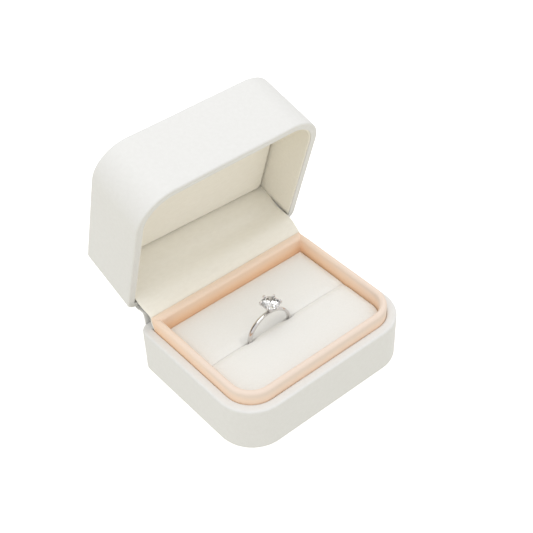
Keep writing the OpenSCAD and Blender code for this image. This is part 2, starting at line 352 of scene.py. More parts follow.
def add_cells(tree, per_mm, smooth=0.6):
    """Pebbles of a leather grain, rounded at their edges."""
    where = tree.nodes.new("ShaderNodeTexCoord")
    texture = tree.nodes.new("ShaderNodeTexVoronoi")
    texture.feature = "SMOOTH_F1"
    texture.inputs["Scale"].default_value = per_mm / MM
    texture.inputs["Smoothness"].default_value = smooth
    tree.links.new(where.outputs["Object"], texture.inputs["Vector"])
    return texture.outputs["Distance"]


def tint(tree, bsdf, source, dark, light, low=0.3, high=0.7):
    """Colours the surface between two tones by a texture."""
    ramp = tree.nodes.new("ShaderNodeValToRGB")
    ramp.color_ramp.elements[0].position = low
    ramp.color_ramp.elements[1].position = high
    ramp.color_ramp.elements[0].color = (*dark, 1)
    ramp.color_ramp.elements[1].color = (*light, 1)
    tree.links.new(source, ramp.inputs["Fac"])
    tree.links.new(ramp.outputs["Color"], bsdf.inputs["Base Color"])


def gloss(tree, bsdf, source, low, high):
    """Varies roughness between two values by a texture."""
    ranged = tree.nodes.new("ShaderNodeMapRange")
    ranged.inputs["To Min"].default_value = low
    ranged.inputs["To Max"].default_value = high
    tree.links.new(source, ranged.inputs["Value"])
    tree.links.new(ranged.outputs["Result"], bsdf.inputs["Roughness"])


def relief(tree, bsdf, layers):
    """Stacks bumps. layers are (texture output, height in mm)."""
    last = None
    for source, height in layers:
        bump = tree.nodes.new("ShaderNodeBump")
        bump.inputs["Strength"].default_value = 1.0
        bump.inputs["Distance"].default_value = height * MM
        tree.links.new(source, bump.inputs["Height"])
        if last is not None:
            tree.links.new(last, bump.inputs["Normal"])
        last = bump.outputs["Normal"]
    tree.links.new(last, bsdf.inputs["Normal"])


def leatherette():
    made, tree, bsdf = shader("white_leatherette", 0.55, [("Specular IOR Level", 0.35)])
    tint(tree, bsdf, add_noise(tree, 0.8, 4.0), (0.735, 0.732, 0.715), (0.755, 0.753, 0.738))
    gloss(tree, bsdf, add_noise(tree, 0.9), 0.5, 0.66)
    relief(tree, bsdf, [(add_cells(tree, 1.9), 0.018), (add_noise(tree, 5.0), 0.006)])
    return made


def paint_sheen_and_shade_by_height(tree, bsdf, shade_and_sheen_stops, grain, low, high, reach):
    """Paints light and shade into the colour, by the surface's height, from low to high, and by its place
    front to back.

    The front, reach in front of the middle, takes its colours from higher up, a painted sheen, and the back
    from lower down, a painted shade, by place_share of the whole blend. grain mixes in grain_share of a
    texture. Sizes are in mm.
    """
    grain_share, place_share = 0.25, 0.25
    where = tree.nodes.new("ShaderNodeTexCoord")
    split = tree.nodes.new("ShaderNodeSeparateXYZ")
    ranged = tree.nodes.new("ShaderNodeMapRange")
    ranged.inputs["From Min"].default_value = low * MM
    ranged.inputs["From Max"].default_value = high * MM
    # The front-to-back shift paints sheen at the front and shade at the back.
    placed = tree.nodes.new("ShaderNodeMapRange")
    placed.inputs["From Min"].default_value = -reach * MM
    placed.inputs["From Max"].default_value = reach * MM
    placed.inputs["To Min"].default_value = place_share - grain_share / 2
    placed.inputs["To Max"].default_value = -place_share - grain_share / 2
    add = tree.nodes.new("ShaderNodeMath")
    add.operation = "MULTIPLY_ADD"
    add.inputs[1].default_value = grain_share
    shift = tree.nodes.new("ShaderNodeMath")
    shift.operation = "ADD"
    # The ramp's colours are painted shade low down and painted sheen at the top.
    ramp = tree.nodes.new("ShaderNodeValToRGB")
    ramp.color_ramp.elements[0].position = 0.0
    ramp.color_ramp.elements[0].color = (*shade_and_sheen_stops[0][1], 1)
    ramp.color_ramp.elements[1].position = 1.0
    ramp.color_ramp.elements[1].color = (*shade_and_sheen_stops[-1][1], 1)
    for place, colour in shade_and_sheen_stops[1:-1]:
        ramp.color_ramp.elements.new(place).color = (*colour, 1)
    tree.links.new(where.outputs["Object"], split.inputs["Vector"])
    tree.links.new(split.outputs["Z"], ranged.inputs["Value"])
    tree.links.new(grain, add.inputs[0])
    tree.links.new(ranged.outputs["Result"], add.inputs[2])
    tree.links.new(split.outputs["Y"], placed.inputs["Value"])
    tree.links.new(add.outputs["Value"], shift.inputs[0])
    tree.links.new(placed.outputs["Result"], shift.inputs[1])
    tree.links.new(shift.outputs["Value"], ramp.inputs["Fac"])
    tree.links.new(ramp.outputs["Color"], bsdf.inputs["Base Color"])


def nap(tree, bsdf, fine):
    """The short pile of velvet or suede as two fine bumps. fine is the cells to a millimetre."""
    relief(tree, bsdf, [(add_noise(tree, fine * 0.4, 4.0), 0.012), (add_noise(tree, fine, 4.0), 0.02)])


def collar_velvet():
    """Peach velvet with painted light: its colour is paler towards the top of the collar as a painted
    sheen, and most at the front, and deeper orange towards the foot and the back as painted shade.
    """
    made, tree, bsdf = shader(
        "peach_velvet", 0.85,
        [("Specular IOR Level", 0.12), ("Sheen Weight", 0.45), ("Sheen Roughness", 0.35)],
    )
    bsdf.inputs["Sheen Tint"].default_value = (1.0, 0.93, 0.88, 1)
    # Colour stops from the collar's foot to its top: painted shade in deeper orange low down, painted sheen
    # in paler colours at the top.
    shade_and_sheen_stops = [
        (0.0, (0.90, 0.60, 0.38)), (0.25, (0.915, 0.66, 0.465)), (0.7, (0.895, 0.705, 0.56)),
        (0.9, (0.84, 0.69, 0.575)), (1.0, (0.81, 0.68, 0.585)),
    ]
    grain = add_noise(tree, 1.6, 5.0)
    paint_sheen_and_shade_by_height(tree, bsdf, shade_and_sheen_stops, grain, PAD_TOP - 1.5, COLLAR_TOP, HALF_D - BASE_WALL)
    nap(tree, bsdf, 5.0)
    return made


def velvet(name, dark, light, sheen):
    """Short-pile velvet: a fine nap and a soft edge sheen."""
    made, tree, bsdf = shader(
        name, 0.85,
        [("Specular IOR Level", 0.12), ("Sheen Weight", sheen), ("Sheen Roughness", 0.45)],
    )
    tint(tree, bsdf, add_noise(tree, 1.6, 5.0), dark, light)
    nap(tree, bsdf, 4.5)
    return made


def suede(name, dark, light):
    """Brushed lining cloth with short fibres laid along X."""
    made, tree, bsdf = shader(
        name, 0.9,
        [("Specular IOR Level", 0.12), ("Sheen Weight", 0.2), ("Sheen Roughness", 0.5)],
    )
    tint(tree, bsdf, add_noise(tree, 0.9, 5.0, (0.5, 1, 1)), dark, light)
    nap(tree, bsdf, 3.5)
    return made


def brushed(name, colour, roughness, stretch):
    """Metal with fine draw lines."""
    made, tree, bsdf = shader(name, roughness, [("Metallic", 1.0)])
    lines = add_noise(tree, 6.0, 4.0, stretch)
    tint(tree, bsdf, lines, [0.86 * c for c in colour], colour)
    gloss(tree, bsdf, add_noise(tree, 1.2), roughness - 0.06, roughness + 0.1)
    relief(tree, bsdf, [(lines, 0.004)])
    return made


def polished_gold():
    """Rhodium-bright white gold with hairline scratches."""
    made, tree, bsdf = shader("white_gold", 0.07, [("Metallic", 1.0)])
    tint(tree, bsdf, add_noise(tree, 0.8), (0.63, 0.605, 0.60), (0.74, 0.72, 0.71))
    gloss(tree, bsdf, add_noise(tree, 9.0, 4.0, (1, 0.2, 1)), 0.04, 0.11)
    relief(tree, bsdf, [(add_noise(tree, 14.0, 3.0, (0.2, 1, 0.2)), 0.0006)])
    return made


def clear_stone():
    made, tree, bsdf = shader("clear_stone", 0.0, [("IOR", 2.2), ("Transmission Weight", 1.0)])
    tint(tree, bsdf, add_noise(tree, 0.6), (0.975, 0.98, 0.985), (1.0, 1.0, 1.0))
    return made


def moulded():
    made, tree, bsdf = shader("moulded_core", 0.5)
    tint(tree, bsdf, add_noise(tree, 0.3), (0.76, 0.76, 0.73), (0.82, 0.82, 0.79))
    relief(tree, bsdf, [(add_noise(tree, 2.5), 0.01)])
    return made


def board():
    made, tree, bsdf = shader("grey_board", 0.9, [("Specular IOR Level", 0.1)])
    tint(tree, bsdf, add_noise(tree, 1.6, 5.0, (1, 0.3, 1)), (0.46, 0.43, 0.38), (0.58, 0.55, 0.50))
    relief(tree, bsdf, [(add_noise(tree, 3.0, 4.0), 0.03)])
    return made


def felt():
    made, tree, bsdf = shader("felt_sheet", 0.95, [("Specular IOR Level", 0.1), ("Sheen Weight", 0.2)])
    tint(tree, bsdf, add_noise(tree, 1.2, 6.0), (0.66, 0.63, 0.56), (0.78, 0.75, 0.68))
    relief(tree, bsdf, [(add_noise(tree, 2.2, 5.0), 0.08), (add_noise(tree, 6.0, 3.0), 0.03)])
    return made


WHITE = leatherette()
# The collar's velvet carries painted sheen and painted shade in its colour.
PEACH_PAINTED_SHEEN = collar_velvet()
CREAM = velvet("cream_velvet", (0.79, 0.781, 0.75), (0.81, 0.803, 0.778), 0.15)
SUEDE = suede("cream_suede", (0.87, 0.838, 0.75), (0.90, 0.87, 0.785))
NICKEL = brushed("nickel_steel", (0.70, 0.69, 0.66), 0.3, (0.08, 1, 1))
WIRE = brushed("rivet_steel", (0.62, 0.61, 0.59), 0.34, (0.1, 1, 1))
GOLD = polished_gold()
STONE = clear_stone()
MOULDED = moulded()
BOARD = board()
FELT = felt()


# ---------------------------------------------------------------- the case
def base_case():
    """Leatherette over the base: under the edge, up the side, over the rim and into the tray."""
    turn_under, turn_in = 6.0, BASE_H - 4.6
    core_in = BASE_WALL - SKIN
    loop = fillet(
        [
            (turn_under, 0), (0, 0), (0, BASE_H), (BASE_WALL, BASE_H), (BASE_WALL, turn_in),
            (core_in, turn_in), (core_in, BASE_H - SKIN), (SKIN, BASE_H - SKIN), (SKIN, SKIN),
            (turn_under, SKIN),
        ],
        [0, 0.4, 0.75, 0.7, 0.15, 0, 0, 0.1, 0.1, 0],
    )
    loop = supported(loop)
    verts, faces = loft([case_ring(inset, z) for inset, z in loop], closed=True)
    piece = make("base_cover", waver(verts, 0.05, 16), faces, WHITE)
    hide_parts("base_wrap")
    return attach(piece, "base")


def bottom_sheet():
    """Felt glued inside the turned-under leatherette."""
    inset, thick, bevel = 6.1, 0.6, 0.2
    edge = [(inset + bevel, 0.02), (inset, 0.18), (inset, 0.42), (inset + bevel, thick)]
    rings = [case_ring(i, z) for i, z in edge]
    lower = shrunk(rings[0], 8)[::-1]
    upper = shrunk(rings[-1], 8)
    verts, faces = loft(lower + rings + upper, cap_first=True, cap_last=True)
    piece = make("bottom_felt", verts, faces, FELT)
    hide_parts("base_bottom_sheet")
    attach(piece, "base")
    return piece


def lid_case():
    """The lid's shell and leatherette, the fold of the covering standing along the rim's inner edge."""
    inner = LID_WALL - SKIN
    rim, bead, bead_w = 0.13, 0.06, 0.55
    rim_r, top_r, roof_in = 0.6, 1.3, 6
    inside = fillet(
        [
            (inner + 0.1, LID_ROOF), (inner + 0.1, rim), (inner, bead), (inner - bead_w, bead),
            (inner - bead_w - 0.2, rim), (0, rim - 0.1), (LID_DRAFT, LID_H),
        ],
        [0, 0.05, 0.2, 0.2, 0.1, rim_r, 0],
    )
    outside = fillet(
        [(0, 2), (LID_DRAFT, LID_H), (roof_in, LID_H), (roof_in, 2)],
        [0, top_r, 0, 0],
    )
    loop = np.vstack([
        supported(inside[:-1], closed=False),
        supported(outside[1:-1], closed=False),
    ])
    rings = [case_ring(inset, z) for inset, z in loop]
    rings = shrunk(rings[0], 6)[::-1] + rings + shrunk(rings[-1], 10, crown=0.12)
    verts, faces = loft(rings, cap_first=True, cap_last=True)
    verts = waver(flared(verts), 0.05, 18, 4.0)
    piece = make("lid_cover", swung(verts), faces, WHITE)
    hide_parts("lid_wrap", "lid_shell")
    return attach(piece, "lid")


def open_plan(x, y0, y1, r, side=18, front=24, arc=14):
    """Plan points of a wall open at the back: from (-x, y1) round the front to (x, y1)."""
    line = fillet([(-x, y1), (-x, y0), (x, y0), (x, y1)], [0, r, r, 0], arc)
    left, right = 1, arc + 2     # where the two corner arcs start in the line
    out = []
    for a, n, corner in ((0, side, left), (left + arc, front, right), (right + arc, side, None)):
        out.extend(line[a] + (line[a + 1] - line[a]) * k / n for k in range(n))
        if corner is not None:
            out.extend(line[corner:corner + arc])
    out.append(line[-1])
    return np.array(out)


def lid_lining():
    """Suede round the lid's inner walls, from one side of the hinge round the front to the other."""
    outer, inner, edge = LID_WALL - SKIN, LID_WALL, 0.42
    loop = supported(
        fillet(
            [(outer + 0.05, edge), (inner, edge), (inner, LID_ROOF), (outer + 0.05, LID_ROOF)],
            [0.1, 0.2, 0, 0],
        ),
    )
    rings = [
        at_height(open_plan(HALF_W - inset, inset - HALF_D, LID_BACK_IN, FRONT_R - inset), z)
        for inset, z in loop
    ]
    verts, faces = loft(rings, closed=True, open_rings=True)
    n = len(rings[0])
    faces += [tuple(range(0, len(verts), n)), tuple(range(n - 1, len(verts), n))]
    verts = waver(flared(verts), 0.05, 9, 2.0)
    piece = make("lid_lining", swung(verts), faces, SUEDE)
    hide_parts("lid_wall_lining")
    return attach(piece, "lid")


def ceiling_back(x):
    """Where the padded ceiling's back edge lies, in the closed lid's frame."""
    return LID_PAD_BACK - LID_PAD_EASE + LID_PAD_SKEW * x


def lid_ceiling():
    """The padded ceiling: suede over foam, its edges rolled back to the walls."""
    inset, roll, corner = LID_WALL + 0.15, 1.5, 3.0
    back, skew_from = LID_PAD_BACK, 8

    def ring(more, z):
        d = inset + more
        return at_height(
            plan(HALF_W - d, d - HALF_D, back - more, FRONT_R - d, max(corner - more, 0.4)),
            z,
        )

    profile = [(0.3, 21.0), (0, 19.0), (0, 17.6)]
    for k in range(9):
        a = math.pi / 2 * k / 8
        profile.append((roll * (1 - math.cos(a)), CEILING + roll * (1 - math.sin(a))))
    rings = [ring(i, z) for i, z in profile]
    rings = shrunk(rings[0], 4)[::-1] + rings + shrunk(rings[-1], 14, crown=-0.1)
    verts, faces = loft(rings, cap_first=True, cap_last=True)
    held = verts[:, 2] > CEILING + roll
    verts[:, 1] += step_up(verts[:, 1], skew_from, back) * (ceiling_back(verts[:, 0]) - back)
    piece = make("lid_ceiling", waver(verts, 0.05, 12, 6.0), faces, SUEDE)
    puff(piece, held, 2.0, 0.35)
    set_coords(piece, swung(coords(piece) / MM) * MM)
    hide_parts("lid_pad_cover", "lid_pad_foam")
    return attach(piece, "lid")


# ---------------------------------------------------------------- the tray
def squared(verts, bead, sharp=0.35):
    """Makes the outer edge of the back bar squarer, where the flap lies against it."""
    out = np.clip((verts[:, 1] - COLLAR_BACK) / bead + 1, 0, 1)
    up = np.clip((verts[:, 2] - COLLAR_TOP) / bead + 1, 0, 1)
    share = step_up(verts[:, 1], *LEAN_Y) * step_up(out, 0, 0.3) * (up > 0)
    verts[:, 1] += share * bead * (out ** sharp - out)
    verts[:, 2] += share * bead * (up ** sharp - up)


def mitre(verts, depth=0.3, width=0.35):
    """How deep the pinch of the mitred back corners lies below the collar's top."""
    corner = np.array([HALF_W - BASE_WALL - COLLAR_T, COLLAR_BACK - COLLAR_BACK_T + BACK_LEAN])
    along = np.array([COLLAR_T, COLLAR_BACK_T]) / math.hypot(COLLAR_T, COLLAR_BACK_T)
    from_corner = np.column_stack([np.abs(verts[:, 0]), verts[:, 1]]) - corner
    off = from_corner[:, 0] * along[1] - from_corner[:, 1] * along[0]
    pinched = (from_corner @ along > -0.6) * step_up(verts[:, 2], PAD_TOP, PAD_TOP + 2)
    return depth * pinched * np.exp(-(off / width) ** 2)


def collar():
    """The velvet collar: a board with a full-round top, but squarer at the back, where it is mitred."""
    out_in, in_in = BASE_WALL + 0.05, BASE_WALL + COLLAR_T
    foot, bead, bulge = BOARD_TOP + 0.3, 1.08, 0.7
    loop = supported(
        fillet(
            [(out_in, foot), (out_in, COLLAR_TOP), (in_in, COLLAR_TOP), (in_in, foot)],
            [0.2, bead, bead, 0.2],
            arc=10,
        ),
        step=1.2,
    )
    rings = []
    for inset, z in loop:
        share = (inset - BASE_WALL) / COLLAR_T
        y1 = COLLAR_BACK - COLLAR_BACK_T * share
        ring = plan(HALF_W - inset, inset - HALF_D, y1, FRONT_R - inset, 0.8 - 0.5 * share)
        rings.append(at_height(ring, z))
    verts, faces = loft(rings, closed=True)
    at_back = step_up(verts[:, 1], *LEAN_Y)
    squared(verts, bead)
    verts = waver(verts, 0.07, 11, 1.0)
    verts[:, 1] += BACK_LEAN * at_back * step_up(verts[:, 2], *LEAN_Z)
    outer_face = step_up(verts[:, 1], COLLAR_BACK - 1.0, COLLAR_BACK + 0.7)
    verts[:, 1] += bulge * outer_face * step_up(verts[:, 2], BASE_H + 0.3, BASE_H + 2.8)
    verts[:, 2] -= mitre(verts)
    # The velvet's colour holds painted sheen at the top and front and painted shade at the foot and back.
    piece = make("collar", verts, faces, PEACH_PAINTED_SHEEN)
    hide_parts("collar_velvet", "collar_core")
    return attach(piece, "base")


def rolled(distance, width, drop):
    """How far a rounded edge lies below the top, at a distance in from the side."""
    t = 1 - np.clip(distance / width, 0, 1)
    return drop * (1 - np.sqrt(1 - t ** 2))


def groove(distance, width, drop):
    """How far the lip of a pad lies below its top, at a distance from the slit."""
    return drop * (1 - np.clip(distance / width, 0, 1)) ** 1.8


def from_wall(x, y, half, front, back, r):
    """Distance in from the collar, round its large front corners."""
    across = np.abs(x) - (half - r)
    along = front + r - y
    corner = np.where((across > 0) & (along > 0), np.hypot(across, along), np.maximum(across, along))
    return np.minimum(r - corner, back - y)


def tray_pad(name, side, node_cover, node_foam):
    """One of the two velvet pads, side -1 in front and 1 behind.

    Its lip is pushed aside by the ring, and meets the other pad's beside it.
    """
    clear, lap = 0.02, 0.08      # between the pad and the collar, and of one lip over the slit's middle
    lip_r, back_r, least_r = 0.6, 0.4, 0.2
    x = HALF_W - BASE_WALL - COLLAR_T - clear
    front = BASE_WALL + COLLAR_T + clear - HALF_D
    back = COLLAR_BACK - COLLAR_BACK_T - clear
    r = FRONT_R - BASE_WALL - COLLAR_T
    lip = SLIT_Y - side * lap
    y0, y1 = (front, lip) if side < 0 else (lip, back)
    r0, r1 = (r, lip_r) if side < 0 else (lip_r, back_r)

    def ring(more, z):
        corners = max(r0 - more, least_r), max(r1 - more, least_r)
        return at_height(
            plan(x - more, y0 + more, y1 - more, *corners, sides=(52, 18, 52, 18)),
            z,
        )

    low = [(0.5, BOARD_TOP + 0.1), (0.05, BOARD_TOP + 0.6), (0, BOARD_TOP + 3.5), (0, PAD_TOP - 2.9)]
    insets = [0, 0.1, 0.25, 0.45, 0.7, 1.0, 1.4, 1.9, 2.5, 3.3, 4.4]
    rings = [ring(i, z) for i, z in low] + [ring(i, PAD_TOP) for i in insets]
    rings = shrunk(rings[0], 4)[::-1] + rings + shrunk(rings[-1], 12)
    verts, faces = loft(rings, cap_first=True, cap_last=True)
    top = verts[:, 2] > PAD_TOP - 1
    wall = from_wall(verts[:, 0], verts[:, 1], x, front, back, r)
    fall = rolled(wall, width=3.0, drop=1.6)
    fall += groove(np.abs(verts[:, 1] - SLIT_Y), width=2.6, drop=0.5)
    crown = 0.25 * step_up(wall, 0, 12)
    verts[:, 2] += top * (crown - np.minimum(fall, 2.4))
    piece = make(name, waver(verts, 0.035, 9, 3.0 + side), faces, CREAM)
    puff(piece, verts[:, 2] < PAD_TOP - 2.5, 2.0, 0.2)
    set_coords(piece, opened_by_ring(coords(piece) / MM, side) * MM)
    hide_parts(node_cover, node_foam)
    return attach(piece, "base")


def opened_by_ring(co, side):
    """A pad's points once the ring has pushed its lip aside, and its back edge leans with the collar."""
    x = co[:, 0]
    left, right = RING_CENTRE[0] - RING_OUT, RING_CENTRE[0] + RING_OUT
    near_ring = step_up(x, left - 2.6, left + 0.3) * (1 - step_up(x, right - 0.3, right + 2.6))
    between_legs = step_up(x, left + 1.5, left + 5) * (1 - step_up(x, right - 5, right - 1.5))
    off = np.abs(co[:, 1] - SLIT_Y)
    # The lip moves aside for the band, and closes again in the finger hole
    aside = (BAND_W / 2 + 0.05) * near_ring * (1 - 0.75 * between_legs)
    co[:, 1] += side * aside * np.exp(-(off / 3.5) ** 2)
    # Behind the ring it slopes down into the slit, and in front of it it bulges up a little
    upper = near_ring * step_up(co[:, 2], BOARD_TOP + 2, PAD_TOP - 1)
    if side > 0:
        co[:, 2] -= upper * 0.9 * np.exp(-(np.maximum(off - 0.5, 0) / 1.7) ** 2)
    else:
        co[:, 2] += upper * 0.3 * np.exp(-(off / 1.6) ** 2)
    co[:, 1] += BACK_LEAN * step_up(co[:, 1], *LEAN_Y) * step_up(co[:, 2], *LEAN_Z)
    return co


# ---------------------------------------------------------------- the hinge's flap and strip
def spline(points, count):
    """count points, evenly spaced along a smooth curve through the given ones."""
    p = np.array(points, float)
    p = np.vstack([2 * p[0] - p[1], p, 2 * p[-1] - p[-2]])
    dense = []
    for i in range(1, len(p) - 2):
        for t in np.linspace(0, 1, 24, endpoint=False):
            dense.append(
                0.5 * (
                    2 * p[i] + (p[i + 1] - p[i - 1]) * t
                    + (2 * p[i - 1] - 5 * p[i] + 4 * p[i + 1] - p[i + 2]) * t ** 2
                    + (3 * p[i] - p[i - 1] - 3 * p[i + 1] + p[i + 2]) * t ** 3
                )
            )
    dense.append(p[-2])
    dense = np.array(dense)
    length = np.concatenate([[0], np.cumsum(np.linalg.norm(np.diff(dense, axis=0), axis=1))])
    at = np.linspace(0, length[-1], count)
    return np.column_stack([np.interp(at, length, dense[:, k]) for k in range(dense.shape[1])])


def sheet_mesh(name, path_at, half, across, along, thick, material):
    """A thin sheet whose (y, z) path is path_at(x), for x from -half to half.

    across and along are the numbers of points each way.
    """
    columns = []
    for x in np.linspace(-half, half, across):
        path = spline(path_at(x), along)
        columns.append(np.column_stack([np.full(len(path), x), path]))
    verts, faces = loft(columns, open_rings=True)
    piece = make(name, verts, faces, material)
    solid = piece.modifiers.new("Thickness", "SOLIDIFY")
    solid.thickness = thick * MM
    solid.offset = 0
    bevel = piece.modifiers.new("Edge", "BEVEL")
    bevel.width = thick * 0.3 * MM
    bevel.segments = 2
    bevel.limit_method = "ANGLE"
    return apply_modifiers(piece)


def cut_size(path_at, half):
    """(width, length) in metres of the flat cloth behind a sheet with this path."""
    path = spline(path_at(0), 200)
    return 2 * half * MM, np.linalg.norm(np.diff(path, axis=0), axis=1).sum() * MM


def flap_path(x):
    """The suede flap: up behind the collar, over the joint and into the slot behind the padded ceiling."""
    twist = -x / FLAP_HALF
    top = ceiling_back(x)
    foot = COLLAR_BACK + 0.3
    return [
        (foot, BASE_H - 8),
        (foot + 0.1, BASE_H - 1.5),
        (foot + 0.4, BASE_H + 0.3),
        (foot + 1.15, BASE_H + 2.0),
        (foot + 1.4, BASE_H + 3.4),
        (foot + 1.6, BASE_H + 4.4),
        (HALF_D - 0.9, BASE_H + 6.0),
        (HALF_D + 2.1, BASE_H + 8.0 + 0.3 * twist),
        opened(min(top + 1.5, LID_BACK_IN), 4.6),
        opened(min(top + 0.75, LID_BACK_IN - 0.1), 8.6),
        opened(top + 0.35, 12.2),
        opened(top + 0.3, CEILING + 0.4),
        opened(top + 0.45, CEILING + 1.6),
        opened(top + 0.5, CEILING + 3.7),
    ]


def hinge_flap():
    piece = sheet_mesh("hinge_flap_cloth", flap_path, FLAP_HALF, 60, 64, 0.5, SUEDE)
    co = waver(coords(piece) / MM, 0.1, 12, 5.0)
    # The flap fills the lid from its rim up on the left, and leaves a slit at the rim on the right
    spread_from = BASE_H + np.where(co[:, 0] < 0, 4.5, 8.0)
    co[:, 0] *= 1 + FLAP_SPREAD / FLAP_HALF * step_up(co[:, 2] - spread_from, 0, 3.5)
    set_coords(piece, co * MM)
    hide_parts("hinge_flap")
    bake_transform(piece)
    cut_size(flap_path, FLAP_HALF)
    return piece


def strip_path(x):
    """The leatherette strip: up the base's back face, slack over the joint, along the lid's back face."""
    past = max(abs(x) - (HALF_W - BACK_R), 0)
    curl = BACK_R - math.sqrt(BACK_R ** 2 - past ** 2)   # round the case's back corners
    glued = HALF_D + 0.3 - curl
    return [
        (glued, BASE_H - 3.8),
        (glued, BASE_H - 1.2),
        (HALF_D + 0.4 - 0.5 * curl, BASE_H + 1.4),
        (HALF_D + 0.9, BASE_H + 3.6),
        (HALF_D + 2.4, BASE_H + 3.9),
        opened(HALF_D + 0.55, -0.3),
        opened(glued, 1.2),
        opened(glued, 4),
    ]


def hinge_strip():
    piece = sheet_mesh("hinge_strip_cover", strip_path, STRIP_HALF, 50, 36, 0.45, WHITE)
    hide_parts("hinge_strip")
    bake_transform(piece)
    cut_size(strip_path, STRIP_HALF)
    return piece


# ---------------------------------------------------------------- the ring
def in_ring(verts):
    """Points drawn about the ring's centre, finger hole along Y, put in the slit."""
    p = np.array(verts, float)
    c, s = math.cos(RING_LEAN), math.sin(RING_LEAN)
    x, z = p[:, 0].copy(), p[:, 2].copy()
    p[:, 0] = x * c + z * s
    p[:, 2] = -x * s + z * c
    return p + RING_CENTRE


def tube(centres, radii, up, sides=12, cap=True):
    """A round bar along centres, with a radius at each; up keeps its sides from twisting."""
    rings = []
    centres = np.array(centres, float)
    for i, c in enumerate(centres):
        d = centres[min(i + 1, len(centres) - 1)] - centres[max(i - 1, 0)]
        d = d / np.linalg.norm(d)
        u = np.cross(d, up)
        u /= np.linalg.norm(u)
        v = np.cross(d, u)
        a = np.linspace(0, 2 * math.pi, sides, endpoint=False)[:, None]
        rings.append(c + radii[i] * (np.cos(a) * u + np.sin(a) * v))
    return loft(rings, cap_first=cap, cap_last=cap)


def joined(parts):
    """Vertices and faces of several meshes as one."""
    verts, faces, base = [], [], 0
    for v, f in parts:
        verts.append(v)
        faces += [tuple(i + base for i in face) for face in f]
        base += len(v)
    return np.concatenate(verts), faces


def shank():
    """A comfort-fit band, domed outside, that narrows towards the head."""
    rings = []
    turns = 120
    for i in range(turns):
        a = 2 * math.pi * i / turns
        from_head = math.acos(math.cos(a - math.pi / 2)) / math.pi
        narrow = 1 - 0.22 * (1 - step_up(from_head, 0.03, 0.3))
        half_w, thick = BAND_W / 2 * narrow, RING_OUT - RING_IN - 0.05
        section = fillet(
            [(-half_w, 0), (-half_w, thick * 0.55), (0, thick * 1.06), (half_w, thick * 0.55), (half_w, 0)],
            [0.14, 0.3, 0.9, 0.3, 0.14],
            arc=4,
        )
        out = np.array([math.cos(a), 0, math.sin(a)])
        rings.append([out * (RING_IN + t) + np.array([0, w, 0]) for w, t in section])
    verts, faces = loft([np.array(r) for r in rings], closed=True)
    piece = make("ring_band", in_ring(verts), faces, GOLD)
    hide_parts("ring_shank")
    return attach(piece, "ring")


def brilliant(r):
    """A round brilliant, culet at the origin: table, stars, kites, girdle, lower halves and mains."""
    crown, pavilion = math.radians(34.0), math.radians(40.8)
    depth = r * math.tan(pavilion)
    girdle = 0.035 * 2 * r
    table = 0.55 * r
    rise = (r - table) * math.tan(crown)
    high = depth + girdle

    def on_cone(radius, turn, top):
        """A point half a turn off the mains, on the planes of its two neighbours."""
        near = radius * math.cos(math.pi / 8)
        z = high + (r - near) * math.tan(crown) if top else near * math.tan(pavilion)
        return (radius * math.cos(turn), radius * math.sin(turn), z)

    def round_at(radius, turn, z):
        return (radius * math.cos(turn), radius * math.sin(turn), z)

    step = math.pi / 4
    verts = [(0, 0, 0)]
    tables = [round_at(table, k * step, high + rise) for k in range(8)]
    stars = [on_cone(0.5 * (table + r) * 1.02, (k + 0.5) * step, True) for k in range(8)]
    upper = [round_at(r, k * step / 2, high) for k in range(16)]
    lower = [round_at(r, k * step / 2, depth) for k in range(16)]
    halves = [on_cone(0.24 * r, (k + 0.5) * step, False) for k in range(8)]
    verts += tables + stars + upper + lower + halves
    t, s, u, d, h = 1, 9, 17, 33, 49
    faces = [tuple(t + k for k in range(8))]
    for k in range(8):
        n = (k + 1) % 8
        m = (k - 1) % 8
        faces.append((t + k, s + k, t + n))
        faces.append((t + k, s + m, u + 2 * k, s + k))
        faces.append((s + k, u + 2 * k, u + 2 * k + 1))
        faces.append((s + k, u + 2 * k + 1, u + (2 * k + 2) % 16))
        faces.append((0, h + m, d + 2 * k, h + k))
        faces.append((h + k, d + 2 * k, d + 2 * k + 1))
        faces.append((h + k, d + 2 * k + 1, d + (2 * k + 2) % 16))
    for k in range(16):
        n = (k + 1) % 16
        faces.append((u + k, u + n, d + n, d + k))
    return np.array(verts, float), faces, (depth, girdle, rise)


def stone():
    verts, faces, _ = brilliant(STONE_D / 2)
    verts = in_ring(verts + [0, 0, STONE_FOOT])
    piece = make("ring_brilliant", verts, faces, STONE, smooth=False)
    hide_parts("ring_stone")
    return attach(piece, "ring")


